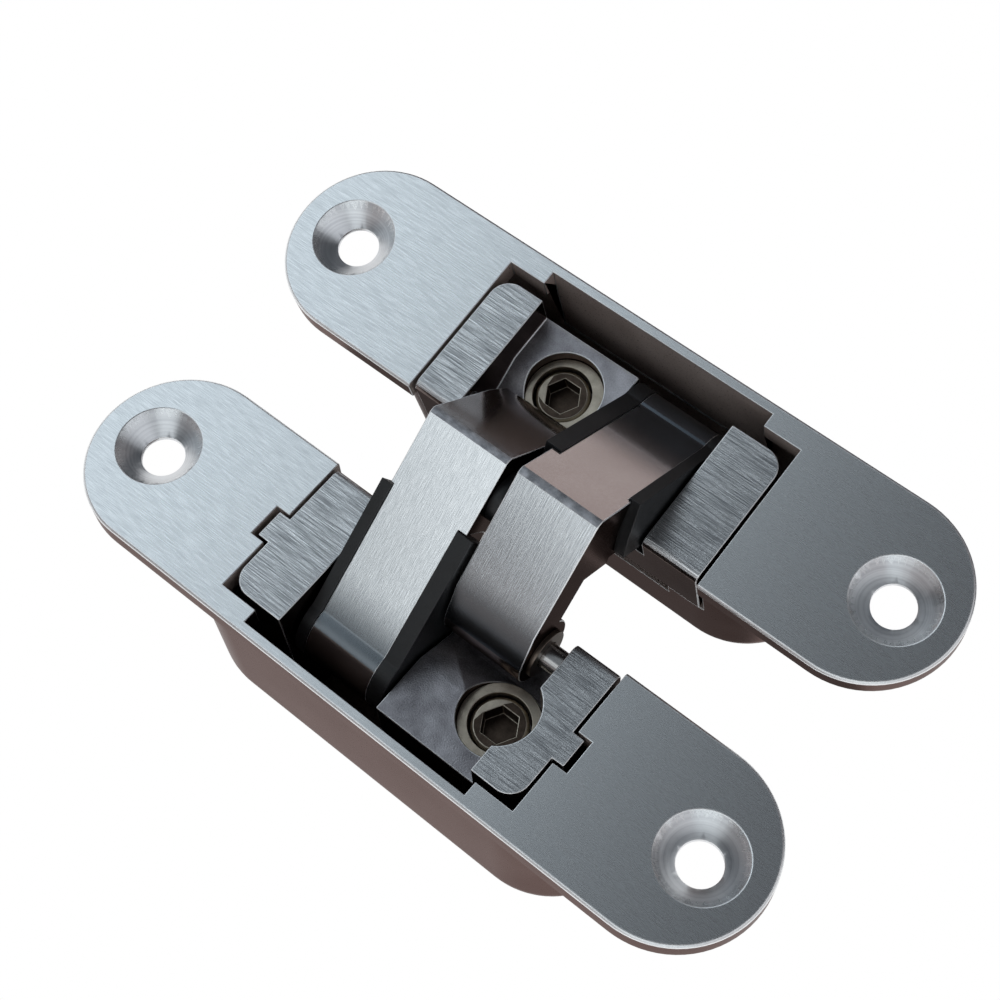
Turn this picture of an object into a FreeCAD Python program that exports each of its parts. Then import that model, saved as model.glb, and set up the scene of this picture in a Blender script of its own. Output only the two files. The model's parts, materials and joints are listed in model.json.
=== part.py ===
import FreeCAD, Part
import math
import os

# A concealed hinge for a door that opens to 180 degrees, shown 10 degrees short of that.
# Two halves of the same casting lie back to back, each one the other turned half a turn about the
# fold's own mirror line. X runs along the hinge, Y runs from the front half to the rear half, and
# Z comes up out of the front faceplate. The origin is the middle of the front faceplate's seat,
# the underside that lies in the mortise.

doc = FreeCAD.newDocument("concealed_hinge")

SIZES = {
    # faceplate
    "plate_length": 95.0,
    "plate_width": 23.0,
    "plate_thick": 3.2,
    "plate_chamfer": 0.3,
    "hole_inset": 8.0,
    "hole_dia": 5.2,
    "sink_dia": 10.4,
    "sink_depth": 2.7,
    # housing below the faceplate
    "body_depth": 28.8,
    "body_inset": 0.67,
    "body_straight": 39.0,
    "bottom_round": 7.0,
    "side_wall": 0.8,
    "floor_wall": 0.7,
    "recess_length": 42.2,
    "recess_reach": 19.9,
    "trough_length": 32.0,
    "trough_reach": 21.7,
    "trough_depth": 14.0,
    "window_depth": 11.8,
    # keys that guide the front cradle
    "key_width": 4.4,
    "key_reach": 1.9,
    "key_setback": 10.9,
    "key_gap": 0.35,
    # cradle
    "cradle_gap": 0.4,
    "cradle_floor_gap": 3.1,
    "cradle_setback": 0.5,
    "cradle_foot_gap": 2.1,
    "front_cradle_reach": 19.2,
    "rear_cradle_reach": 18.0,
    "cradle_floor": 4.7,
    "bridge_setback": 4.9,
    "bridge_drop": 7.7,
    "bridge_edge_drop": 3.7,
    "pin_gap": 3.1,
    "pin_cover": 2.0,
    "knuckle_run": 3.5,
    "corner_round": 2.6,
    "lip_round": 1.2,
    "travel": 0.4,
    # linkage
    "edge_gap": 12.6,
    "rest_opening": 170.0,
    "closed_gap": 5.0,
    "pivot_inset": 3.0,
    "pivot_drop": 2.6,
    "arch_rise": 7.5,
    "slide_reach": 24.6,
    "slide_slope": 39.0,
    # arms
    "arm_width": 10.9,
    "arm_spacing": 1.44,
    "crest_rise": 13.33,
    "crest_shift": 1.97,
    "crest_band": 1.3,
    "face_end_rise": 4.1,
    "face_end_reach": 10.4,
    "armpit_rise": 3.8,
    "armpit_reach": 1.56,
    "slide_top": 4.4,
    "slide_radius": 5.0,
    "knuckle_radius": 4.2,
    "knuckle_cover": 1.28,
    "centre_cover": 1.3,
    # pins and bushes
    "pivot_pin_dia": 3.2,
    "slide_pin_dia": 3.0,
    "centre_pin_dia": 3.6,
    "washer_dia": 6.4,
    "bush_wall": 0.65,
    "bush_flange_dia": 6.2,
    "bush_flange_thick": 0.6,
    "slide_bush_dia": 3.9,
    "groove_depth": 2.6,
    "groove_slack": 0.3,
    "pin_end_gap": 0.3,
    "pin_chamfer": 0.3,
    "fit": 0.05,
    "seat": 0.02,
    # nylon side plates
    "pad_start": 5.0,
    "pad_waist": 1.0,
    "pad_toe": 2.2,
    "rebate_slant": 1.6,
    "rebate_reach": 9.0,
    "outer_inlay": 0.4,
    "inner_inlay": 1.1,
    "pad_stand": 1.05,
    "pad_rise": 0.3,
    "pad_underside": 3.4,
    # adjusting screws
    "front_screw_inset": 8.9,
    "rear_screw_reach": 6.88,
    "screw_head_dia": 6.8,
    "screw_head_height": 3.2,
    "screw_head_gap": 0.25,
    "screw_head_chamfer": 0.35,
    "screw_dia": 5.0,
    "screw_way_gap": 0.3,
    "screw_tip_gap": 0.5,
    "socket_width": 4.0,
    "socket_depth": 2.4,
    "counterbore_dia": 9.8,
    "counterbore_depth": 6.2,
    "bush_sink": 1.8,
    "eccentric_throw": 0.35,
    "spring_washer_thick": 0.7,
    "washer_gap": 0.2,
    "washer_split": 0.5,
    "nut_width": 7.6,
    "nut_thick": 1.8,
    # how far a cutting shape runs past the face that it cuts
    "overrun": 1.0,
}

# Two places nearer than this, in millimetres, count as one.
NEAR = 0.01
# The turn, in radians, over which the direction of a path is measured.
SMALL_TURN = 0.01

sheet = doc.addObject("Spreadsheet::Sheet", "Sizes")
for row, (alias, value) in enumerate(SIZES.items(), start=1):
    sheet.set(f"A{row}", alias)
    sheet.set(f"B{row}", str(value))
    sheet.setAlias(f"B{row}", alias)
doc.recompute()


def size(alias):
    return float(getattr(sheet, alias))


# Expressions for the places that several pieces share

EDGE = "(Sizes.plate_width / 2)"
PIVOT_Y = f"({EDGE} - Sizes.pivot_inset)"
ARM_INNER = "(Sizes.arm_spacing / 2)"
ARM_OUTER = f"({ARM_INNER} + Sizes.arm_width)"
PAD_OUTER = f"({ARM_OUTER} + Sizes.pad_stand)"
SLOT_LEFT = f"({PAD_OUTER} + Sizes.cradle_gap)"
SLOT_RIGHT = f"({ARM_INNER} - Sizes.fit)"
BODY_HALF = f"({EDGE} - Sizes.body_inset)"
FLOOR_Z = "(Sizes.body_depth - Sizes.floor_wall)"
HALF_HOLLOW = f"({BODY_HALF} - Sizes.side_wall)"
CRADLE_DEPTH = f"({FLOOR_Z} - Sizes.cradle_floor_gap)"
CRADLE_HALF = "(Sizes.recess_length / 2 - Sizes.cradle_gap)"
BORE_FLOOR = "(-Sizes.cradle_floor - Sizes.counterbore_depth)"
BUSH_BORE = "(Sizes.screw_head_dia / 2 + Sizes.screw_head_gap)"
PIN_END = f"({CRADLE_HALF} - Sizes.pin_cover)"
THROW = "Sizes.eccentric_throw"
NO_THROW = "0"
# The front screw stands at a fixed distance from the end of its recess, the rear one from the arms.
FRONT_SCREW_X = "(Sizes.recess_length / 2 - Sizes.front_screw_inset)"
REAR_SCREW_X = f"({ARM_INNER} + Sizes.rear_screw_reach)"


def bind(obj, values):
    for path, expression in values.items():
        obj.setExpression(path, str(expression))
    return obj


def box(name, low, extent):
    solid = doc.addObject("Part::Box", name)
    return bind(solid, {
        "Placement.Base.x": low[0], "Placement.Base.y": low[1], "Placement.Base.z": low[2],
        "Length": extent[0], "Width": extent[1], "Height": extent[2],
    })


def upright(name, centre, radius, height):
    solid = doc.addObject("Part::Cylinder", name)
    return bind(solid, {
        "Placement.Base.x": centre[0], "Placement.Base.y": centre[1], "Placement.Base.z": centre[2],
        "Radius": radius, "Height": height,
    })


def lying(name, start, radius, length):
    # A cylinder along X
    solid = doc.addObject("Part::Cylinder", name)
    solid.Placement.Rotation = FreeCAD.Rotation(FreeCAD.Vector(0, 1, 0), 90)
    return bind(solid, {
        "Placement.Base.x": start[0], "Placement.Base.y": start[1], "Placement.Base.z": start[2],
        "Radius": radius, "Height": length,
    })


def fuse(name, parts):
    if len(parts) == 1:
        return parts[0]
    result = doc.addObject("Part::MultiFuse", name)
    result.Shapes = parts
    result.Refine = True
    return result


def cut(name, base, tools):
    result = doc.addObject("Part::Cut", name)
    result.Base = base
    result.Tool = fuse(name + "_tools", tools)
    result.Refine = True
    return result


def fillet(name, base, radius, chosen):
    # Rounds the edges of base that the test picks
    doc.recompute()
    result = doc.addObject("Part::Fillet", name)
    result.Base = base
    result.Edges = [
        (index, radius, radius)
        for index, edge in enumerate(base.Shape.Edges, start=1) if chosen(edge)
    ]
    return result


def chamfer(name, base, reach, chosen):
    doc.recompute()
    result = doc.addObject("Part::Chamfer", name)
    result.Base = base
    result.Edges = [
        (index, reach, reach)
        for index, edge in enumerate(base.Shape.Edges, start=1) if chosen(edge)
    ]
    return result


def pin(name, start, radius, length):
    # A rod along X with both ends chamfered
    rod = lying(name + "_rod", start, radius, length)
    return chamfer(name + "_ends", rod, size("pin_chamfer"), lambda edge: edge.BoundBox.XLength < NEAR)


def is_upright_edge_at(edge, x, y, slack=0.05):
    ends = [vertex.Point for vertex in edge.Vertexes]
    if len(ends) != 2:
        return False
    return all(abs(end.x - x) < slack and abs(end.y - y) < slack for end in ends)


def plane_of(body, role):
    return next(feature for feature in body.Origin.OriginFeatures if feature.Role == role)


def side_sketch(body, name, start, path):
    # A closed outline in the YZ plane: each step is a straight end or an arc's middle and end
    sketch = body.newObject("Sketcher::SketchObject", name)
    sketch.AttachmentSupport = (plane_of(body, "YZ_Plane"), [""])
    sketch.MapMode = "FlatFace"
    here = FreeCAD.Vector(*start, 0)
    for step in path:
        points = [FreeCAD.Vector(*point, 0) for point in step]
        if len(points) == 1:
            sketch.addGeometry(Part.LineSegment(here, points[0]))
        else:
            sketch.addGeometry(Part.Arc(here, points[0], points[1]))
        here = points[-1]
    return sketch


def side_pad(body, name, sketch, offset, length):
    bind(sketch, {"AttachmentOffset.Base.z": offset})
    pad = body.newObject("PartDesign::Pad", name)
    pad.Profile = sketch
    return bind(pad, {"Length": length})


# The linkage in the front half's own section, Y across and Z up

edge_y = size("plate_width") / 2
fold_y = edge_y + size("edge_gap") / 2
lean = math.radians(180 - size("rest_opening")) / 2
pivot = (edge_y - size("pivot_inset"), -size("pivot_drop"))
centre = (fold_y - size("arch_rise") * math.sin(lean), size("arch_rise") * math.cos(lean))
crank = math.dist(centre, pivot)
crank_angle = math.atan2(centre[1] - pivot[1], centre[0] - pivot[0])
slide_angle = math.pi + math.radians(size("slide_slope"))

# The closed hinge has its two faces closed_gap apart, and the centre pin midway between them.
closed_rise = size("closed_gap") / 2 + size("pivot_drop")
closed_crank_angle = math.pi - math.asin(closed_rise / crank)
fold_travel = closed_crank_angle - crank_angle
cross_travel = math.radians(size("rest_opening")) - 2 * fold_travel
cross_ratio = cross_travel / fold_travel
fully_open = -math.radians(180 - size("rest_opening")) / (2 + cross_ratio)

# The rear half is the front half turned half a turn about the mirror line through the fold.
mirror_line = FreeCAD.Vector(0, -math.sin(lean), math.cos(lean))
fold_point = FreeCAD.Vector(0, fold_y, 0)
half_turn = FreeCAD.Placement(FreeCAD.Vector(), FreeCAD.Rotation(mirror_line, 180), fold_point)
unturned = FreeCAD.Placement()
arm_place = FreeCAD.Placement(FreeCAD.Vector(0, *centre), FreeCAD.Rotation())

# The pieces are drawn with the front faceplate's face at height 0, and lifted from its seat.
from_seat = FreeCAD.Placement(FreeCAD.Vector(0, 0, size("plate_thick")), FreeCAD.Rotation())


def polar(start, angle, distance):
    return (start[0] + distance * math.cos(angle), start[1] + distance * math.sin(angle))


def toward(a, b, distance):
    return polar(a, math.atan2(b[1] - a[1], b[0] - a[0]), distance)


def touch(point, hub, radius, turn):
    # Where a line from the point touches the circle about the hub, on its left (1) or right (-1)
    facing = math.atan2(point[1] - hub[1], point[0] - hub[0])
    return polar(hub, facing + turn * math.acos(radius / math.dist(point, hub)), radius)


def enter(point, aim, hub, radius):
    # Where the line from the point to the aim first meets the circle about the hub
    reach = math.dist(point, aim)
    run = ((aim[0] - point[0]) / reach, (aim[1] - point[1]) / reach)
    foot = (hub[0] - point[0]) * run[0] + (hub[1] - point[1]) * run[1]
    miss = (hub[0] - point[0]) * run[1] - (hub[1] - point[1]) * run[0]
    distance = foot - math.sqrt(radius**2 - miss**2)
    return (point[0] + distance * run[0], point[1] + distance * run[1])


# An arm is drawn about its centre pin, as the left arm stands at rest. Its sliding pin is to the
# front, its fixed pivot to the rear. Heights and reaches are taken from the fold point.

slide_hub = polar((0, 0), slide_angle, size("slide_reach"))
rise = math.pi / 2 + lean
knuckle_hub = polar((0, 0), 2 * rise - crank_angle - math.pi, crank)


def from_fold(height, reach):
    point = polar((fold_y - centre[0], -centre[1]), rise, height)
    return polar(point, lean, reach)


def arm_outline(shift):
    # Flat outer faces that meet in a narrow band at the crest, and a barrel round each pin
    radius = size("slide_radius")
    knuckle = size("knuckle_radius")
    crest = from_fold(size("crest_rise"), shift)
    face_end = from_fold(size("face_end_rise"), size("face_end_reach"))
    armpit = from_fold(size("armpit_rise"), size("armpit_reach"))
    slide_aim = touch(crest, slide_hub, size("slide_top"), 1)
    slide_start = enter(crest, slide_aim, slide_hub, radius)
    slide_stop = touch(armpit, slide_hub, radius, -1)
    knuckle_start = enter(armpit, knuckle_hub, knuckle_hub, knuckle)
    knuckle_stop = touch(face_end, knuckle_hub, knuckle, -1)
    band_slide = toward(crest, slide_start, size("crest_band") / 2)
    band_pivot = toward(crest, face_end, size("crest_band") / 2)
    corners = (crest, band_slide, band_pivot)
    band_top = (sum(point[0] for point in corners) / 3, sum(point[1] for point in corners) / 3)
    return band_slide, [
        [slide_start],
        [polar(slide_hub, slide_angle, radius), slide_stop],
        [armpit],
        [knuckle_start],
        [polar(knuckle_hub, -math.pi / 2, knuckle), knuckle_stop],
        [face_end],
        [band_pivot],
        [band_top, band_slide],
    ]


def beside(distance, side):
    # A point of the sliding half, at a distance from the centre pin and above or below its line
    return polar(polar((0, 0), slide_angle, distance), slide_angle - math.pi / 2, side)


def seen_from_slide(point):
    # The same two measures, of a point that is already there
    distance, heading = math.hypot(*point), math.atan2(point[1], point[0]) - slide_angle
    return distance * math.cos(heading), -distance * math.sin(heading)


def pad_outline(shift):
    # A side plate follows the arm's outer face and its barrel, and stays clear of its underside
    crest = from_fold(size("crest_rise"), shift)
    aim = touch(crest, slide_hub, size("slide_top"), 1)
    radius = size("slide_radius")
    start = size("pad_start") + size("fit")
    crest_along, crest_side = seen_from_slide(crest)
    far_along, far_side = seen_from_slide(enter(crest, aim, slide_hub, radius))
    slope = (far_side - crest_side) / (far_along - crest_along)
    start_side = crest_side + slope * (start - crest_along)
    start_top = beside(start, start_side + size("pad_rise"))
    return start_top, [
        [beside(far_along, far_side + size("pad_rise"))],
        [polar(slide_hub, slide_angle, radius - 2 * size("fit")), beside(size("slide_reach"), -radius)],
        [beside(start + size("pad_toe"), -size("pad_underside"))],
        [beside(start + size("pad_waist"), 0)],
        [start_top],
    ]


finished = []


def finish(label, shape_object, place):
    shape_object.Label = label
    doc.recompute()
    shape_object.Placement = from_seat.multiply(place).multiply(shape_object.Placement)
    finished.append(shape_object)
    return shape_object


def housing(end, place, with_keys):
    # One casting: faceplate with round ends, and below it a deep trough with a wall all round
    straight = "(Sizes.plate_length - Sizes.plate_width)"
    plate = fuse(end + "_plate", [
        box(end + "_plate_middle", (f"-{straight} / 2", f"-{EDGE}", "-Sizes.plate_thick"),
            (straight, "Sizes.plate_width", "Sizes.plate_thick")),
        upright(end + "_plate_left", (f"-{straight} / 2", 0, "-Sizes.plate_thick"), EDGE,
                "Sizes.plate_thick"),
        upright(end + "_plate_right", (f"{straight} / 2", 0, "-Sizes.plate_thick"), EDGE,
                "Sizes.plate_thick"),
    ])
    eased_plate = chamfer(
        end + "_plate_eased", plate, size("plate_chamfer"), lambda edge: edge.BoundBox.ZMin > -NEAR)

    def trough(name, half, bottom, height):
        return fuse(name, [
            box(name + "_middle", ("-Sizes.body_straight / 2", f"-{half}", bottom),
                ("Sizes.body_straight", f"2 * {half}", height)),
            upright(name + "_left", ("-Sizes.body_straight / 2", 0, bottom), half, height),
            upright(name + "_right", ("Sizes.body_straight / 2", 0, bottom), half, height),
        ])

    body = trough(end + "_trough", BODY_HALF, "-Sizes.body_depth",
                  "Sizes.body_depth - Sizes.plate_thick / 2")
    rounded_body = fillet(
        end + "_trough_round", body, size("bottom_round"),
        lambda edge: edge.BoundBox.ZMax < NEAR - size("body_depth"))

    # The hollow keeps its round ends down to where the bottom starts to round. Below that it is
    # straight, as long as the recess, and rounded along both sides.
    inner_round = size("bottom_round") - size("side_wall")
    upper_hollow = trough(end + "_hollow", HALF_HOLLOW, f"-{FLOOR_Z} + {inner_round}",
                          f"{FLOOR_Z} - {inner_round} - Sizes.plate_thick")
    lower_hollow = box(end + "_hollow_low", ("-Sizes.recess_length / 2", f"-{HALF_HOLLOW}", f"-{FLOOR_Z}"),
                       ("Sizes.recess_length", f"2 * {HALF_HOLLOW}", f"{inner_round} + Sizes.overrun"))
    rounded_hollow = fillet(
        end + "_hollow_round", lower_hollow, inner_round,
        lambda edge: edge.BoundBox.ZLength < NEAR and edge.BoundBox.YLength < NEAR
        and edge.BoundBox.ZMax < NEAR + size("floor_wall") - size("body_depth"))
    through_plate = ("-Sizes.plate_thick - Sizes.overrun", "Sizes.plate_thick + 2 * Sizes.overrun")
    tools = [
        upper_hollow,
        rounded_hollow,
        box(end + "_recess",
            ("-Sizes.recess_length / 2", f"{EDGE} - Sizes.recess_reach", through_plate[0]),
            ("Sizes.recess_length", "Sizes.recess_reach + Sizes.overrun", through_plate[1])),
        box(end + "_trough_recess",
            ("-Sizes.trough_length / 2", f"{EDGE} - Sizes.trough_reach", "-Sizes.trough_depth"),
            ("Sizes.trough_length", "Sizes.trough_reach", "Sizes.trough_depth + Sizes.overrun")),
        box(end + "_window",
            ("-Sizes.recess_length / 2", f"{HALF_HOLLOW} - Sizes.overrun", "-Sizes.window_depth"),
            ("Sizes.recess_length", "Sizes.side_wall + Sizes.body_inset + 2 * Sizes.overrun",
             "Sizes.window_depth + Sizes.overrun")),
    ]
    if with_keys:
        tools.append(box(
            end + "_keyways",
            ("-Sizes.recess_length / 2 - Sizes.key_reach",
             f"{EDGE} - Sizes.key_setback - Sizes.key_width / 2", through_plate[0]),
            ("Sizes.recess_length + 2 * Sizes.key_reach", "Sizes.key_width", through_plate[1])))
    for side, sign in (("left", "-"), ("right", "")):
        at = f"{sign}(Sizes.plate_length / 2 - Sizes.hole_inset)"
        tools.append(upright(f"{end}_{side}_hole", (at, 0, through_plate[0]),
                             "Sizes.hole_dia / 2", through_plate[1]))
        sink = doc.addObject("Part::Cone", f"{end}_{side}_sink")
        bind(sink, {
            "Placement.Base.x": at, "Placement.Base.z": "-Sizes.sink_depth",
            "Radius1": "Sizes.hole_dia / 2", "Radius2": "Sizes.sink_dia / 2",
            "Height": "Sizes.sink_depth",
        })
        tools.append(sink)
    whole = fuse(end + "_casting", [eased_plate, rounded_body])
    finish(end + "_housing", cut(end + "_housing_shape", whole, tools), place)


def slide_pin_at(turn):
    # The sliding pin's place once the right arm has turned on the front pivot
    hub = polar(pivot, crank_angle + turn, crank)
    return polar(hub, slide_angle + turn * (1 + cross_ratio), size("slide_reach"))


def heading_at(turn):
    before = slide_pin_at(turn - SMALL_TURN)
    after = slide_pin_at(turn + SMALL_TURN)
    return math.atan2(after[1] - before[1], after[0] - before[0])


def beside_path(turn, side, distance):
    # A point of the YZ plane on the left (1) or right (-1) of the sliding pin's path
    return FreeCAD.Vector(0, *polar(slide_pin_at(turn), heading_at(turn) + side * math.pi / 2, distance))


def groove_end(turn, side, distance):
    # A round end past the path's first (-1) or last (1) point
    middle = FreeCAD.Vector(0, *polar(slide_pin_at(turn), heading_at(turn), side * distance))
    return Part.Arc(beside_path(turn, 1, distance), middle, beside_path(turn, -1, distance)).toShape()


def groove_tool(name):
    # The groove follows the sliding pin's own path, with the same slack on both sides
    half = size("slide_bush_dia") / 2 + size("groove_slack")
    turns = [fully_open + (fold_travel - fully_open) * step / 8 for step in range(9)]
    sides = []
    for side in (1, -1):
        curve = Part.BSplineCurve()
        curve.interpolate([beside_path(turn, side, half) for turn in turns])
        sides.append(curve.toShape())
    outline = Part.Wire([
        sides[0],
        groove_end(turns[-1], 1, half),
        sides[1],
        groove_end(turns[0], -1, half),
    ])
    feature = doc.addObject("Part::Feature", name)
    feature.Shape = Part.Face(outline).extrude(FreeCAD.Vector(-size("groove_depth"), 0, 0))
    reach = size("arm_spacing") / 2 + size("arm_width") + size("pad_stand") + size("cradle_gap")
    feature.Placement = FreeCAD.Placement(FreeCAD.Vector(-reach, 0, 0), FreeCAD.Rotation())
    return feature


def slot_profile(name, points, left, right):
    # An upright cut with this outline in the YZ plane, between two places along X
    body = doc.addObject("PartDesign::Body", name)
    sketch = side_sketch(body, name + "_outline", points[-1], [[point] for point in points])
    side_pad(body, name + "_pad", sketch, left, f"{right} - ({left})")
    return body


def cradle(end, place, reach, screw_x, throw, with_keys):
    # One casting that carries the pivot pin, the sliding groove and the adjusting screw
    low_y = f"({EDGE} - Sizes.{reach})"
    inner_y = f"({EDGE} - Sizes.cradle_setback)"
    foot_y = f"({HALF_HOLLOW} - Sizes.cradle_foot_gap)"
    shoulder = "(Sizes.window_depth - Sizes.cradle_gap - Sizes.travel)"
    block = fuse(end + "_cradle_block", [
        box(end + "_cradle_head", (f"-{CRADLE_HALF}", low_y, f"-{shoulder}"),
            (f"2 * {CRADLE_HALF}", f"{inner_y} - {low_y}", shoulder)),
        box(end + "_cradle_foot", (f"-{CRADLE_HALF}", low_y, f"-{CRADLE_DEPTH}"),
            (f"2 * {CRADLE_HALF}", f"{foot_y} - {low_y}", CRADLE_DEPTH)),
    ])
    half = size("recess_length") / 2 - size("cradle_gap")
    far = edge_y - size(reach)
    near = edge_y - size("cradle_setback")
    rounded = fillet(
        end + "_cradle_corners", block, size("corner_round"),
        lambda edge: is_upright_edge_at(edge, -half, far) or is_upright_edge_at(edge, half, far))
    eased = fillet(
        end + "_cradle_lip", rounded, size("lip_round"),
        lambda edge: edge.BoundBox.ZMin > -NEAR and edge.BoundBox.YMin > near - NEAR)
    pieces = [eased]
    if with_keys:
        pieces.append(box(
            end + "_keys",
            (f"-{CRADLE_HALF} - Sizes.key_reach + Sizes.key_gap",
             f"{EDGE} - Sizes.key_setback - Sizes.key_width / 2 + Sizes.key_gap",
             "-Sizes.plate_thick + Sizes.key_gap"),
            (f"2 * ({CRADLE_HALF} + Sizes.key_reach - Sizes.key_gap)",
             "Sizes.key_width - 2 * Sizes.key_gap", "Sizes.plate_thick - Sizes.key_gap")))
    whole = fuse(end + "_cradle_whole", pieces)

    clear = size("cradle_gap")
    past = size("overrun")
    depth = size("body_depth")
    bridge = edge_y - size("bridge_setback")
    arm_slot = slot_profile(
        end + "_arm_slot",
        [(-edge_y, past), (-edge_y, -depth), (bridge, -depth),
         (bridge, -size("bridge_drop") - clear), (edge_y, -size("bridge_edge_drop") - clear),
         (edge_y, past)],
        f"-{SLOT_LEFT}", SLOT_RIGHT)
    floor = size("cradle_floor")
    side_reach = f"({ARM_OUTER} + Sizes.pin_gap)"
    knuckle_floor = size("pivot_drop") + size("knuckle_radius") + clear
    knuckle_slot = slot_profile(
        end + "_knuckle_slot",
        [(-edge_y, past), (-edge_y, -floor), (0, -floor),
         (pivot[0] - size("knuckle_run"), -knuckle_floor), (edge_y, -knuckle_floor), (edge_y, past)],
        0, side_reach)
    tools = [
        arm_slot,
        knuckle_slot,
        groove_tool(end + "_groove"),
        lying(end + "_pivot_bore", (ARM_OUTER, PIVOT_Y, "-Sizes.pivot_drop"),
              "Sizes.pivot_pin_dia / 2 + Sizes.seat", f"{PIN_END} + Sizes.fit - {ARM_OUTER}"),
        upright(end + "_counterbore", (f"{screw_x} - {throw}", 0, BORE_FLOOR), "Sizes.counterbore_dia / 2",
                "Sizes.counterbore_depth + Sizes.cradle_floor + Sizes.overrun"),
        upright(end + "_screw_way", (screw_x, 0, f"-{CRADLE_DEPTH} - Sizes.overrun"),
                "Sizes.screw_dia / 2 + Sizes.travel + Sizes.screw_way_gap", CRADLE_DEPTH),
    ]
    finish(end + "_cradle", cut(end + "_cradle_shape", whole, tools), place)


def screw_set(end, place, x, throw):
    # Socket screw in a bush, with a spring washer under its head and a flat nut on the floor
    below_bore = f"{BORE_FLOOR} - Sizes.overrun"
    bush_outer = upright(end + "_bush_outer", (f"{x} - {throw}", 0, BORE_FLOOR),
                         "Sizes.counterbore_dia / 2 - Sizes.fit",
                         "Sizes.counterbore_depth - Sizes.bush_sink")
    bush_bore = upright(end + "_bush_bore", (x, 0, below_bore), BUSH_BORE,
                        "Sizes.counterbore_depth + 2 * Sizes.overrun")
    finish(end + "_eccentric_bush", cut(end + "_bush_shape", bush_outer, [bush_bore]), place)

    ring = upright(end + "_washer_outer", (x, 0, BORE_FLOOR), "Sizes.screw_head_dia / 2 - Sizes.fit",
                   "Sizes.spring_washer_thick")
    through_washer = "Sizes.spring_washer_thick + 2 * Sizes.overrun"
    eye = upright(end + "_washer_eye", (x, 0, below_bore), "Sizes.screw_dia / 2 + Sizes.washer_gap",
                  through_washer)
    split = box(end + "_washer_split", (x, "-Sizes.washer_split / 2", below_bore),
                ("Sizes.screw_head_dia", "Sizes.washer_split", through_washer))
    finish(end + "_spring_washer", cut(end + "_washer_shape", ring, [eye, split]), place)

    head_low = f"({BORE_FLOOR} + Sizes.spring_washer_thick)"
    head = upright(end + "_head", (x, 0, head_low), "Sizes.screw_head_dia / 2",
                   "Sizes.screw_head_height")
    eased_head = chamfer(
        end + "_head_eased", head, size("screw_head_chamfer"),
        lambda edge: edge.BoundBox.ZMin > head.Shape.BoundBox.ZMax - NEAR)
    shank_low = f"(-{FLOOR_Z} + Sizes.screw_tip_gap)"
    shank = upright(end + "_shank", (x, 0, shank_low), "Sizes.screw_dia / 2",
                    f"{head_low} - {shank_low} + Sizes.fit")
    socket = doc.addObject("Part::Prism", end + "_socket")
    bind(socket, {
        "Placement.Base.x": x,
        "Placement.Base.z": f"{head_low} + Sizes.screw_head_height - Sizes.socket_depth",
        "Circumradius": "Sizes.socket_width / sqrt(3)",
        "Height": "Sizes.socket_depth + Sizes.overrun",
    })
    solid = fuse(end + "_screw_solid", [eased_head, shank])
    finish(end + "_screw", cut(end + "_screw_shape", solid, [socket]), place)

    nut = box(end + "_nut_block",
              (f"{x} - Sizes.nut_width / 2", "-Sizes.nut_width / 2", f"-{FLOOR_Z}"),
              ("Sizes.nut_width", "Sizes.nut_width", "Sizes.nut_thick"))
    thread = upright(end + "_nut_bore", (x, 0, f"-{FLOOR_Z} - Sizes.overrun"),
                     "Sizes.screw_dia / 2 + Sizes.fit", "Sizes.nut_thick + 2 * Sizes.overrun")
    finish(end + "_nut", cut(end + "_nut_shape", nut, [thread]), place)


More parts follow.
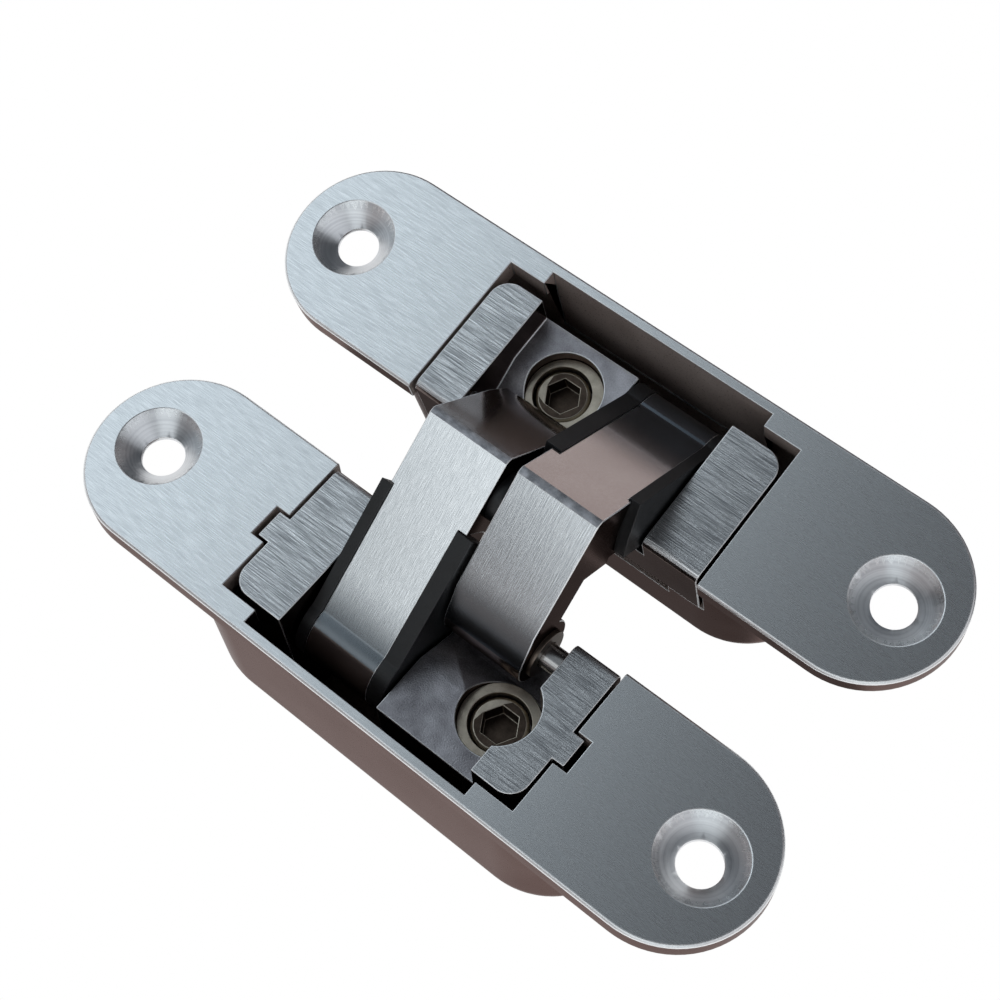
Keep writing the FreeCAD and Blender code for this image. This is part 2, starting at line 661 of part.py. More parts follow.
def arm(side, shift, place):
    # A bent arm, stepped in on both sides of its sliding half for the nylon plates
    body = doc.addObject("PartDesign::Body", side + "_arm_body")
    sketch = side_sketch(body, side + "_arm_outline", *arm_outline(shift))
    side_pad(body, side + "_arm_pad", sketch, f"-{ARM_OUTER}", "Sizes.arm_width")
    start = size("pad_start")
    reach = size("rebate_reach")
    end = size("slide_reach") + reach
    corners = [
        beside(start, reach),
        beside(end, reach),
        beside(end, -reach),
        beside(start + size("rebate_slant"), -reach),
        beside(start, 0),
    ]
    tools = []
    for where, low, high in (
            ("outer", f"-{ARM_OUTER} - Sizes.overrun", f"-{ARM_OUTER} + Sizes.outer_inlay"),
            ("inner", f"-{ARM_INNER} - Sizes.inner_inlay", f"-{ARM_INNER} + Sizes.overrun")):
        rebate = doc.addObject("PartDesign::Body", f"{side}_{where}_rebate")
        outline = side_sketch(rebate, f"{side}_{where}_rebate_outline", corners[-1],
                              [[corner] for corner in corners])
        side_pad(rebate, f"{side}_{where}_rebate_pad", outline, low, f"{high} - ({low})")
        tools.append(rebate)
    outside = f"(-{ARM_OUTER} - Sizes.overrun)"
    knuckle_wall = "(Sizes.pivot_pin_dia / 2 + Sizes.bush_wall)"
    tools += [
        lying(side + "_centre_bore", (f"-{ARM_OUTER} + Sizes.centre_cover", 0, 0),
              "Sizes.centre_pin_dia / 2 + Sizes.fit", ARM_OUTER),
        lying(side + "_slide_bore", (outside, *slide_hub),
              "Sizes.slide_pin_dia / 2 + Sizes.seat", "Sizes.arm_width + 2 * Sizes.overrun"),
        lying(side + "_knuckle_bore", (outside, *knuckle_hub), f"{knuckle_wall} + Sizes.seat",
              "Sizes.arm_width + Sizes.overrun - Sizes.knuckle_cover"),
    ]
    finish(side + "_arm", cut(side + "_arm_shape", body, tools), place)

    for where, low, thick in (
            ("outer", f"-{PAD_OUTER}", "Sizes.pad_stand + Sizes.outer_inlay"),
            ("inner", f"-{ARM_INNER} - Sizes.inner_inlay", "Sizes.pad_stand + Sizes.inner_inlay")):
        plate = doc.addObject("PartDesign::Body", f"{side}_{where}_plate")
        outline = side_sketch(plate, f"{side}_{where}_plate_outline", *pad_outline(shift))
        side_pad(plate, f"{side}_{where}_plate_pad", outline, low, thick)
        hole = lying(f"{side}_{where}_plate_hole", (f"-{PAD_OUTER} - Sizes.overrun", *slide_hub),
                     "Sizes.slide_pin_dia / 2 + Sizes.seat",
                     "Sizes.arm_width + 2 * (Sizes.pad_stand + Sizes.overrun)")
        finish(f"{side}_arm_{where}_pad", cut(f"{side}_{where}_plate_shape", plate, [hole]), place)

    pin_start = f"(-{SLOT_LEFT} - Sizes.groove_depth + Sizes.pin_end_gap)"
    finish(side + "_arm_slide_pin", pin(
        side + "_slide_pin", (pin_start, *slide_hub), "Sizes.slide_pin_dia / 2",
        f"Sizes.pad_stand / 2 - {ARM_INNER} - {pin_start}"), place)
    bush = lying(side + "_slide_bush_rod", (pin_start, *slide_hub), "Sizes.slide_bush_dia / 2",
                 "Sizes.groove_depth")
    bush_eye = lying(side + "_slide_bush_eye", (f"{pin_start} - Sizes.overrun", *slide_hub),
                     "Sizes.slide_pin_dia / 2 + Sizes.seat", "Sizes.groove_depth + 2 * Sizes.overrun")
    finish(side + "_arm_slide_bush", cut(side + "_slide_bush_shape", bush, [bush_eye]), place)

    flange_face = f"(-{ARM_OUTER} - Sizes.seat)"
    sleeve = lying(side + "_sleeve_rod", (f"{flange_face} - Sizes.fit", *knuckle_hub), knuckle_wall,
                   "Sizes.arm_width - Sizes.knuckle_cover")
    flange = lying(side + "_sleeve_flange", (f"{flange_face} - Sizes.bush_flange_thick", *knuckle_hub),
                   "Sizes.bush_flange_dia / 2", "Sizes.bush_flange_thick")
    sleeve_eye = lying(side + "_sleeve_eye", (outside, *knuckle_hub),
                       "Sizes.pivot_pin_dia / 2 + Sizes.fit", "Sizes.arm_width + Sizes.overrun")
    finish(side + "_arm_pivot_bush", cut(
        side + "_sleeve_shape", fuse(side + "_sleeve", [sleeve, flange]), [sleeve_eye]), place)


def pivot_pin(end, place):
    # Pressed into the cradle's end block, it runs across into the other arm's knuckle
    start = f"({ARM_INNER} + Sizes.knuckle_cover + Sizes.pin_end_gap)"
    finish(end + "_pivot_pin", pin(
        end + "_pivot", (start, PIVOT_Y, "-Sizes.pivot_drop"),
        "Sizes.pivot_pin_dia / 2", f"{PIN_END} - {start}"), place)


def centre_joint():
    # The pin on which the two arms cross, and the washer that keeps them apart
    reach = f"({ARM_OUTER} - Sizes.centre_cover - Sizes.pin_end_gap)"
    finish("centre_pin", pin(
        "centre", (f"-{reach}", 0, 0), "Sizes.centre_pin_dia / 2", f"2 * {reach}"), arm_place)
    disc = lying("washer_disc", (f"-{ARM_INNER} + Sizes.seat", 0, 0), "Sizes.washer_dia / 2",
                 "Sizes.arm_spacing - 2 * Sizes.seat")
    eye = lying("washer_eye", ("-Sizes.arm_spacing", 0, 0), "Sizes.centre_pin_dia / 2 + Sizes.seat",
                "2 * Sizes.arm_spacing")
    finish("centre_washer", cut("washer_shape", disc, [eye]), arm_place)


housing("front", unturned, with_keys=True)
housing("rear", half_turn, with_keys=False)
cradle("front", unturned, "front_cradle_reach", FRONT_SCREW_X, NO_THROW, with_keys=True)
cradle("rear", half_turn, "rear_cradle_reach", REAR_SCREW_X, THROW, with_keys=False)
screw_set("front", unturned, FRONT_SCREW_X, NO_THROW)
screw_set("rear", half_turn, REAR_SCREW_X, THROW)
pivot_pin("front", unturned)
pivot_pin("rear", half_turn)
arm("left", size("crest_shift"), arm_place)
arm("right", -size("crest_shift"), half_turn.multiply(arm_place))
centre_joint()

doc.recompute()

for item in doc.Objects:
    states = " ".join(item.State)
    if "Invalid" in states or "Error" in states:
        raise RuntimeError(f"{item.Label} failed: {states}")
for item in finished:
    if item.Shape.isNull() or not item.Shape.isValid():
        raise RuntimeError(f"{item.Label} has no valid solid")

front_pivot = from_seat.multVec(FreeCAD.Vector(0, *pivot))
cross = from_seat.multVec(FreeCAD.Vector(0, *centre))
rear_pivot = from_seat.multiply(half_turn).multVec(FreeCAD.Vector(0, *pivot))
rear_seat = from_seat.multiply(half_turn).multVec(FreeCAD.Vector(0, 0, -size("plate_thick")))
print(f"fold {math.degrees(fold_travel):.2f}, open {math.degrees(fully_open):.2f} degrees")
print(f"cross ratio {cross_ratio:.5f}")
print(f"front pivot y {front_pivot.y:.4f} z {front_pivot.z:.4f}, centre y {cross.y:.4f} z {cross.z:.4f}")
print(f"rear pivot y {rear_pivot.y:.4f} z {rear_pivot.z:.4f}")
print(f"rear seat y {rear_seat.y:.4f} z {rear_seat.z:.4f}")
os.makedirs("parts", exist_ok=True)
for item in finished:
    print(f"{item.Label}: {len(item.Shape.Solids)} solid(s), {item.Shape.Volume:.1f} mm3")
    item.Shape.exportStep(f"parts/{item.Label}.step")
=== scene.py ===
# %% [markdown]
# # A concealed door hinge, dressed in Blender
# The hinge is two zinc castings that are let into the edges of a door and its frame, joined by two
# bent arms that cross on one pin. Its solids come from CAD and are loaded here as a fixed frame.
# Everything that follows only gives them their eased edges and their finishes, and then lights
# them as a small product is lit. The size of the whole is measured now.

import json
import math

import bmesh
import bpy
from mathutils import Matrix, Vector

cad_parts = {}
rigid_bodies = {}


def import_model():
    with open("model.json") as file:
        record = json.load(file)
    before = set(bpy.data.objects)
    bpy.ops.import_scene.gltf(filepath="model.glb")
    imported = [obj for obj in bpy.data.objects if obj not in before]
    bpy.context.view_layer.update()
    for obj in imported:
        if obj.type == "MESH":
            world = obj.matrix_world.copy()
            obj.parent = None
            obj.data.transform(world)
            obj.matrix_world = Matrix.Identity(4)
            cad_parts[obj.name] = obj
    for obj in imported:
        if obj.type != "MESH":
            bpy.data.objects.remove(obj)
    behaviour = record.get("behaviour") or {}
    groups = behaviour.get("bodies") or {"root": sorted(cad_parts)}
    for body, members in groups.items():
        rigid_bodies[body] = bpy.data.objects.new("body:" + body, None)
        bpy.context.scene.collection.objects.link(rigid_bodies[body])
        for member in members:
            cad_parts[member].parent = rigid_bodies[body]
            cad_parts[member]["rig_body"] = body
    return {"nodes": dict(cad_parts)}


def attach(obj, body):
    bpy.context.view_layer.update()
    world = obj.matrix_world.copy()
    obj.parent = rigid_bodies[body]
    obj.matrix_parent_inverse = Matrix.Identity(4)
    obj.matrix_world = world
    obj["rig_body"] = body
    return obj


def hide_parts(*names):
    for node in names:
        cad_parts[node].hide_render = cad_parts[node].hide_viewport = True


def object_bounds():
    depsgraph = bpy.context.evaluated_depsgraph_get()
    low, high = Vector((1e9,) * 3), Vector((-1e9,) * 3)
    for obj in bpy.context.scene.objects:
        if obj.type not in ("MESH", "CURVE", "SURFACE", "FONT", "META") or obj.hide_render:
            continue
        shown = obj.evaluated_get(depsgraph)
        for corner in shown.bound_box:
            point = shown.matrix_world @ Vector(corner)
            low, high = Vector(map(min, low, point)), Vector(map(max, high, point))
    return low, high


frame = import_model()
cad_low, cad_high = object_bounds()
MM = 0.001
print("size in mm:", [round(value / MM, 1) for value in cad_high - cad_low])

# %% [markdown]
# ## The camera
# The photograph was taken from above the near right corner, close enough for the far half to look
# smaller. The camera's axes were found by fitting the outlines of both faceplates, so the object
# falls on the same pixels. A shift or a crop could have done part of this, but a plain turned
# camera also serves the other views.

# %% Camera
RIGHT = Vector((0.77446, 0.63177, -0.03292))
UP = Vector((-0.54893, 0.69696, 0.46143))
BACK = Vector((0.31446, -0.33928, 0.88657))
STAND_MM = Vector((57.824, -46.544, 175.344))
SENSOR_MM = 36
LENS_MM = 60.66
NEAREST_MM = 10

camera_data = bpy.data.cameras.new("photo_camera")
camera_data.sensor_width = SENSOR_MM
camera_data.lens = LENS_MM
camera_data.clip_start = NEAREST_MM * MM
camera = bpy.data.objects.new("photo_camera", camera_data)
axes = Matrix((RIGHT, UP, BACK)).transposed()
camera.matrix_world = Matrix.Translation(STAND_MM * MM) @ axes.to_4x4()
bpy.context.scene.collection.objects.link(camera)
bpy.context.scene.camera = camera
bpy.context.scene.view_settings.view_transform = "Standard"
print("camera height in mm:", round(camera.location.z / MM, 1))

# %% [markdown]
# ## Helpers for all materials
# Colours are written as they are read from a screen, in sRGB, and Blender mixes light in linear
# values, so one function turns the one into the other. A second small function adds a node with
# its settings and its links, which keeps each material as short as its idea. A third mixes two
# colours, each of them a plain value or the result of another node.

# %% Colour and node helpers
def linear(hex_colour):
    values = [int(hex_colour[at:at + 2], 16) / 255 for at in (1, 3, 5)]
    return (*(v / 12.92 if v <= 0.04045 else ((v + 0.055) / 1.055) ** 2.4 for v in values), 1)


def socket(node, key):
    return next(s for s in node.inputs if s.enabled and key in (s.identifier, s.name))


def add(tree, kind, settings=(), links=()):
    node = tree.nodes.new("ShaderNode" + kind)
    for key, value in dict(settings).items():
        if hasattr(node, key):
            setattr(node, key, value)
        else:
            socket(node, key).default_value = value
    for key, source in dict(links).items():
        tree.links.new(source, socket(node, key))
    return node


def mix(tree, factor, low, high):
    node = add(tree, "Mix", {"data_type": "RGBA"}, {"Factor_Float": factor})
    for key, colour in (("A_Color", low), ("B_Color", high)):
        if isinstance(colour, bpy.types.NodeSocket):
            tree.links.new(colour, socket(node, key))
        else:
            socket(node, key).default_value = colour
    return next(output for output in node.outputs if output.enabled)


def new_material(name, settings):
    material = bpy.data.materials.new(name)
    material.use_nodes = True
    shader = material.node_tree.nodes["Principled BSDF"]
    for key, value in settings.items():
        shader.inputs[key].default_value = value
    return material, material.node_tree, shader


print("mid grey in linear light:", round(linear("#808080")[0], 3))

# %% [markdown]
# ## A pattern measured in millimetres
# Brushing, blasting and casting all leave a pattern of a known size. Object coordinates are in
# metres, so they are divided by that size: the noise then has one lump per step. A brushed line
# is the same noise, stretched along the way that the belt ran. The turn is about the hinge's own
# length, because the arms' faces slope. The same noise drives the roughness and the slope of the
# surface, and has a share in the colour.

# %% Measured noise
def pattern(tree, steps_mm, detail, turn=0.0, contrast=(0.3, 0.7)):
    place = add(tree, "TexCoord").outputs["Object"]
    turned_place = add(tree, "VectorRotate", {"rotation_type": "X_AXIS", "Angle": math.radians(turn)},
                       {"Vector": place}).outputs["Vector"]
    scaled = add(tree, "Mapping", {"Scale": [1 / (step * MM) for step in steps_mm]},
                 {"Vector": turned_place}).outputs["Vector"]
    noise = add(tree, "TexNoise", {"Scale": 1.0, "Detail": detail, "Roughness": 0.6},
                {"Vector": scaled}).outputs["Fac"]
    return add(tree, "MapRange", {"From Min": contrast[0], "From Max": contrast[1]},
               {"Value": noise}).outputs["Result"]


def spread(tree, factor, low, high):
    return add(tree, "MapRange", {"To Min": low, "To Max": high}, {"Value": factor}).outputs["Result"]


def finish_surface(tree, shader, colour, roughness, height, depth_mm, relief):
    normal = add(tree, "Bump", {"Strength": relief, "Distance": depth_mm * MM},
                 {"Height": height}).outputs["Normal"]
    tree.links.new(colour, shader.inputs["Base Color"])
    tree.links.new(roughness, shader.inputs["Roughness"])
    tree.links.new(normal, shader.inputs["Normal"])


print("a step of 0.2 mm is", round(1 / (0.2 * MM)), "lumps per metre")

# %% [markdown]
# ## Painted shade where a face runs out
# Towards an arm's knuckle, and at the lower end of the right arm's far face, the colour gets darker
# over a few millimetres. This darkening is painted shade for the dark surroundings that these faces
# mirror there: the brushing and the polish go on as before, and only the colour changes. The change
# has a place on the piece, so it is measured along the hinge's width, at the rest pose. Two
# materials with a border between them would show a hard line instead.

# %% Painted shade along the width
def fade_to_painted_shade(tree, colour, from_mm, to_mm, shade_colour):
    place = add(tree, "TexCoord").outputs["Object"]
    along = add(tree, "SeparateXYZ", links={"Vector": place}).outputs["Y"]
    passed = add(tree, "MapRange", {"interpolation_type": "SMOOTHSTEP", "From Min": from_mm * MM,
                                    "From Max": to_mm * MM}, {"Value": along}).outputs["Result"]
    return mix(tree, passed, colour, linear(shade_colour))


# Where each arm's face starts and stops darkening, and the dark it ends in: painted shade.
NEAR_PAINTED_SHADE_LEFT = (2.6, -3.9, "#6b7176")
NEAR_PAINTED_SHADE_RIGHT = (9.8, 5.4, "#4d5155")
FAR_PAINTED_SHADE_RIGHT = (28.4, 36.5, "#687079")
print("the left arm's brushing fades over", round(NEAR_PAINTED_SHADE_LEFT[0] - NEAR_PAINTED_SHADE_LEFT[1], 1), "mm")

# %% [markdown]
# ## Plated zinc, brushed
# The faceplates, the cradle tops and the arms' near faces of the real hinge are zinc castings,
# ground flat on a belt and then plated with satin nickel. A belt leaves thin straight lines of
# unequal depth, so the metal shows a soft, drawn-out reflection, and the finer the belt, the more
# even it looks. The lines are noise stretched some 20 to 40 times, and they change the colour a
# little, the roughness more, and the surface's slope. A brushed line is a few hundredths of a
# millimetre wide, too fine for this view, so the lines are drawn about 0.1 mm wide.

# %% Brushed finish
LINE_DEPTH_MM = 0.02


def brushed(name, dark, light, run_mm, line_mm, roughness, relief, along="X", turn=0.0,
            contrast=(0.3, 0.7), ends=None):
    material, tree, shader = new_material(name, {"Metallic": 1.0})
    steps = (run_mm, line_mm, line_mm) if along == "X" else (line_mm, run_mm, line_mm)
    lines = pattern(tree, steps, 4.0, turn, contrast)
    colour = mix(tree, lines, linear(dark), linear(light))
    if ends:
        colour = fade_to_painted_shade(tree, colour, *ends)
    finish_surface(tree, shader, colour, spread(tree, lines, roughness[1], roughness[0]), lines,
                   LINE_DEPTH_MM, relief)
    return material


faceplate_finish = brushed("satin_nickel_fine_brushed", "#cdd1d4", "#ebeef0", run_mm=2.4,
                           line_mm=0.11, roughness=(0.23, 0.33), relief=0.2)
block_finish = brushed("nickel_coarse_brushed", "#85888c", "#eff1f3", run_mm=4.2, line_mm=0.11,
                       roughness=(0.20, 0.36), relief=0.65, contrast=(0.36, 0.64))
# The arms' near faces get darker towards the knuckle: painted shade, set by ends.
left_near_finish = brushed("nickel_belt_ground_painted_shade_left", "#dde2e5", "#f8fbfd", run_mm=2.0,
                           line_mm=0.10, roughness=(0.16, 0.26), relief=0.3, along="Y",
                           turn=-37.7, ends=NEAR_PAINTED_SHADE_LEFT)
right_near_finish = brushed("nickel_belt_ground_painted_shade_right", "#d2d7db", "#f3f6f9", run_mm=2.0,
                            line_mm=0.10, roughness=(0.16, 0.26), relief=0.3, along="Y",
                            turn=-41.7, ends=NEAR_PAINTED_SHADE_RIGHT)
print("brushed finishes:", len(bpy.data.materials))

# %% [markdown]
# ## Plated zinc as cast
# The bodies, the arms' flanks and the knuckles were only tumbled before plating. They keep the
# soft skin of a die casting: smooth, a little cloudy, warmer and darker than the brushed faces.
# The crest of each arm is masked from the belt and looks sandblasted, with a grain that sparkles.
# Seen from above, an upright wall is met at a grazing angle, where the plain formula turns any
# metal pale over a white floor. The dark base colours of the bodies and flanks and their tint for
# grazing light are partly their own warmer tone and partly painted shade, which keeps walls and
# flanks as dark as if they mirrored darker surroundings.
# The plating inside a pocket is thin and dull, so that finish is metal only in part.

# %% Cast finishes
GRAIN_SHARE = 0.35
GRAIN_DEPTH_MM = 0.02


def cast(name, dark, light, cloud_mm, grain_mm, roughness, relief, metal=1.0, grazing="#ffffff",
         ends=None):
    material, tree, shader = new_material(name, {"Metallic": metal, "Specular Tint": linear(grazing)})
    cloud = pattern(tree, (cloud_mm,) * 3, 2.0)
    grain = pattern(tree, (grain_mm,) * 3, 2.0)
    tone = add(tree, "Math", {"operation": "MULTIPLY_ADD", "Value_001": GRAIN_SHARE},
               {"Value": grain, "Value_002": spread(tree, cloud, 0.0, 1 - GRAIN_SHARE)}).outputs["Value"]
    colour = mix(tree, tone, linear(dark), linear(light))
    if ends:
        colour = fade_to_painted_shade(tree, colour, *ends)
    finish_surface(tree, shader, colour, spread(tree, grain, *roughness), grain, GRAIN_DEPTH_MM, relief)
    return material


# The dark base colours and grazing tints of the next two finishes are partly painted shade.
body_finish = cast("satin_nickel_tumbled", "#625552", "#756865", cloud_mm=12.0, grain_mm=0.15,
                   roughness=(0.26, 0.32), relief=0.12, grazing="#c0b4b2")
flank_finish = cast("satin_nickel_flank", "#6b6361", "#827a77", cloud_mm=8.0, grain_mm=0.12,
                    roughness=(0.16, 0.24), relief=0.08, grazing="#a39c9b")
pocket_finish = cast("nickel_pocket_wall", "#a6958e", "#c9bab3", cloud_mm=9.0, grain_mm=0.2,
                     roughness=(0.26, 0.36), relief=0.06, metal=0.3)
blasted_finish = cast("nickel_sandblasted", "#6f7176", "#d3d4da", cloud_mm=1.2, grain_mm=0.11,
                      roughness=(0.40, 0.62), relief=1.0)
floor_finish = cast("nickel_cast_floor", "#6d6b70", "#c9c8ce", cloud_mm=4.0, grain_mm=0.17,
                    roughness=(0.30, 0.50), relief=0.8)
left_far_finish = cast("nickel_polished_left", "#bdb3b0", "#cbc3c1", cloud_mm=10.0, grain_mm=0.3,
                       roughness=(0.10, 0.16), relief=0.05)
# Its lower end gets darker towards the trough: painted shade for the dark that it mirrors there.
right_far_finish = cast("nickel_polished_painted_shade_right", "#bdb3b0", "#cbc3c1", cloud_mm=10.0, grain_mm=0.3,
                        roughness=(0.10, 0.16), relief=0.05, ends=FAR_PAINTED_SHADE_RIGHT)
edge_finish = cast("nickel_worn_edge", "#e6e8ea", "#fbfcfd", cloud_mm=3.0, grain_mm=0.2,
                   roughness=(0.34, 0.44), relief=0.05)
print("finishes so far:", len(bpy.data.materials))

# %% [markdown]
# ## Countersinks, screws, pins and plates
# A countersink is turned after the belt has passed, so its cone keeps fine rings and mirrors the
# room in bright and dark sectors. The adjusting screws and their bushes are steel with a dull
# yellow zinc plating. The pins are ground steel, the bearing bushes bronze. The side plates on the
# arms are black nylon, moulded, with a faint grain and no metal in them at all.

# %% Turned, plated and moulded finishes
RING_REACH_MM = 60.0
RING_DEPTH_MM = 0.01


def turned(name, dark, light, ring_mm, roughness, relief):
    material, tree, shader = new_material(name, {"Metallic": 1.0})
    rings = pattern(tree, (RING_REACH_MM, RING_REACH_MM, ring_mm), 1.0)
    finish_surface(tree, shader, mix(tree, rings, linear(dark), linear(light)),
                   spread(tree, rings, *roughness), rings, RING_DEPTH_MM, relief)
    return material


cone_finish = turned("nickel_turned_cone", "#c9ccd0", "#e6e9ec", ring_mm=0.25,
                     roughness=(0.28, 0.34), relief=0.08)
pin_finish = turned("ground_steel", "#a9a8a8", "#cfcecd", ring_mm=0.12, roughness=(0.18, 0.28),
                    relief=0.2)
zinc_finish = cast("yellow_zinc_plate_dull", "#a1988a", "#cfc6b7", cloud_mm=1.5, grain_mm=0.12,
                   roughness=(0.28, 0.42), relief=0.3)
# The socket's dark colour is painted shade for the inside of the recess.
socket_painted_shade = cast("yellow_zinc_socket_painted_shade", "#3c342e", "#5e5249", cloud_mm=1.2, grain_mm=0.15,
                     roughness=(0.35, 0.5), relief=0.3)
bush_finish = cast("bronze_bush", "#5f564e", "#7d7269", cloud_mm=1.0, grain_mm=0.12,
                   roughness=(0.3, 0.42), relief=0.3)
nylon_finish = cast("black_nylon_moulded", "#0a0b0d", "#15171a", cloud_mm=3.0, grain_mm=0.15,
                    roughness=(0.38, 0.5), relief=0.5, metal=0.0)
print("finishes in all:", len(bpy.data.materials))

# %% [markdown]
# ## Where each piece was drawn
# Both halves are the same casting, turned about the line through the fold. A rule that sorts the
# faces in the casting's own frame fits both, so each piece is brought back to the place where it
# was drawn, gets its faces sorted there, and goes back to where it stands. The patterns are then
# laid on at the rest pose, and they travel with each piece when it moves.

# %% Drawing frames
PLATE_THICK = 3.2
LEAN = math.radians(5)
FOLD_Y = 17.8
CENTRE_Y, CENTRE_Z = 17.1463, 7.4715

lift = Matrix.Translation((0, 0, PLATE_THICK * MM))
about_fold = Matrix.Translation((0, FOLD_Y * MM, 0))
fold_axis = Vector((0, -math.sin(LEAN), math.cos(LEAN)))
half_turn = about_fold @ Matrix.Rotation(math.pi, 4, fold_axis) @ about_fold.inverted()
arm_place = Matrix.Translation((0, CENTRE_Y * MM, CENTRE_Z * MM))
PLACE = {
    "front": lift,
    "rear": lift @ half_turn,
    "left_arm": lift @ arm_place,
    "right_arm": lift @ half_turn @ arm_place,
}
print("rear half stands at", [round(value / MM, 2) for value in PLACE["rear"].translation])

# %% [markdown]
# ## Eased edges
# No edge of a real casting is sharp: tumbling and the belt leave a narrow bright line. The mesh of
# each node is copied, its flat triangles are joined into whole faces, and a bevel as wide as that
# line goes on every edge sharper than 30 degrees, with a finish of its own, the last of the list.
# Normals weighted by area then keep the wide faces flat beside the narrow bevels. Rounding in the
# shader would cost nothing to model, but it would not show on the outline or in an export.

# %% Dress one CAD node
WELD_MM = 0.002
FLAT_ANGLE = math.radians(0.5)
SHARP_ANGLE = math.radians(30)
EASE_SEGMENTS = 2
STORED_NORMALS = ("custom_normal", "sharp_edge", "sharp_face")


def dress(name, place, slot, finishes, pick, ease_mm):
    node = frame["nodes"][name]
    mesh = node.data.copy()
    mesh.name = name + "_dressed"
    mesh.transform(place.inverted())
    for stored in STORED_NORMALS:
        if stored in mesh.attributes:
            mesh.attributes.remove(mesh.attributes[stored])
    mesh.materials.clear()
    for finish in finishes:
        mesh.materials.append(finish)
    work = bmesh.new()
    work.from_mesh(mesh)
    bmesh.ops.remove_doubles(work, verts=work.verts, dist=WELD_MM * MM)
    bmesh.ops.dissolve_limit(work, angle_limit=FLAT_ANGLE, verts=work.verts, edges=work.edges)
    work.normal_update()
    for face in work.faces:
        face.material_index = pick(face.normal, face.calc_center_median() / MM)
        face.smooth = True
    work.to_mesh(mesh)
    work.free()
    mesh.transform(place)
    piece = bpy.data.objects.new(name + "_dressed", mesh)
    bpy.context.scene.collection.objects.link(piece)
    bevel = piece.modifiers.new("eased_edges", "BEVEL")
    bevel.width = ease_mm * MM
    bevel.segments = EASE_SEGMENTS
    bevel.limit_method = "ANGLE"
    bevel.angle_limit = SHARP_ANGLE
    bevel.use_clamp_overlap = False
    bevel.material = len(finishes) - 1
    piece.modifiers.new("even_normals", "WEIGHTED_NORMAL")
    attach(piece, node["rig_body"])
    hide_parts(name)


print("nodes to dress:", len(frame["nodes"]))

# %% [markdown]
# ## The housings
# Each housing is a round-ended faceplate on a deep trough. The top is brushed along its length,
# the countersinks are turned, the trough is as cast outside, and its walls inside are duller,
# because the plating hardly reaches them. A wall is an inner one when its normal points to the
# casting's own middle line. Heights count up from the faceplate's top, in millimetres.

# %% Housings
FACEPLATE, BODY, POCKET, CONE = range(4)
HOLE_X = 39.5
CONE_REACH = 5.3
SPINE = 19.5
UPWARD = 0.6


def housing_face(normal, centre):
    if normal.z > UPWARD and centre.z > -0.5:
        return FACEPLATE
    from_hole = math.hypot(abs(centre.x) - HOLE_X, centre.y)
    if from_hole < CONE_REACH and centre.z > -PLATE_THICK + 0.01:
        return CONE
    outward = Vector((centre.x - max(-SPINE, min(SPINE, centre.x)), centre.y, 0))
    inner_wall = abs(normal.z) < 0.7 and outward.dot(normal) < 0
    inner_floor = normal.z > 0.5 and centre.z < -4
    return POCKET if inner_wall or inner_floor else BODY


for end in ("front", "rear"):
    dress(end + "_housing", PLACE[end], "housing",
          [faceplate_finish, body_finish, pocket_finish, cone_finish, edge_finish],
          housing_face, ease_mm=0.10)
print("housings dressed")

# %% [markdown]
# ## The cradles
# A cradle is the block in each housing that holds the pivot pin and the groove. Its top carries
# the coarsest brushing of all, the floor round the screw keeps its casting grain, and its edges
# shine where the belt left a burr.

# %% Cradles
TOP, FLANK, FLOOR = range(3)
TOP_ABOVE_Z = -1.3
FLOOR_BELOW_Z = -3


def cradle_face(normal, centre):
    if normal.z > UPWARD and centre.z > TOP_ABOVE_Z:
        return TOP
    if normal.z > UPWARD and centre.z < FLOOR_BELOW_Z:
        return FLOOR
    return FLANK


for end in ("front", "rear"):
    dress(end + "_cradle", PLACE[end], "cradle",
          [block_finish, flank_finish, floor_finish, edge_finish], cradle_face, ease_mm=0.14)
print("cradles dressed")

# %% [markdown]
# ## The arms
# Each arm is bent over the fold, with a flat face on both sides of its crest. The face towards
# the front half shows the belt's lines, the far one is polished, a narrow band at the crest is
# sandblasted, and the flanks are as cast. In an arm's own frame the sliding half lies towards
# minus Y, so the sides change places for the right arm, which is turned round.

# %% Arms
NEAR, FAR, SIDE, CREST = range(4)
CREST_BAND_MM = 1.0
CREST_SLOPE = 0.56
FACES_REACH_MM = 17


def arm_face_picker(name, near_sign):
    top = max(vertex.co.z for vertex in frame["nodes"][name].data.vertices)

    def pick(normal, centre):
        if abs(normal.x) > 0.5:
            return SIDE
        below_crest = top - (PLACE[name] @ (centre * MM)).z
        if normal.z > 0.3 and below_crest < CREST_BAND_MM * MM and abs(normal.y) < CREST_SLOPE:
            return CREST
        if normal.z > 0.5 and below_crest < FACES_REACH_MM * MM:
            return NEAR if normal.y * near_sign > 0 else FAR
        return SIDE

    return pick


for name, near_sign, near_finish, far_finish in (
        ("left_arm", -1, left_near_finish, left_far_finish),
        ("right_arm", 1, right_near_finish, right_far_finish)):
    dress(name, PLACE[name], "arm",
          [near_finish, far_finish, flank_finish, blasted_finish, edge_finish],
          arm_face_picker(name, near_sign), ease_mm=0.12)
print("arms dressed")

# %% [markdown]
# ## The small pieces
# Screws, bushes, pins and side plates are dressed in the same way, with narrower edges. A screw's
# socket is coloured darker than its head: painted shade for the dark inside of the recess.

# %% Small pieces
HEAD, SOCKET = range(2)
SOCKET_REACH = 2.4
SOCKET_ABOVE_Z = -12
SCREW_X = {"front": 12.2, "rear": 7.25}


def all_over(normal, centre):
    return 0


def screw_face(screw_x):
    def pick(normal, centre):
        from_axis = math.hypot(centre.x - screw_x, centre.y)
        return SOCKET if from_axis < SOCKET_REACH and centre.z > SOCKET_ABOVE_Z else HEAD
    return pick


def dress_plain(name, place, slot, finish, ease_mm=0.08):
    dress(name, PLACE[place], slot, [finish, finish], all_over, ease_mm)


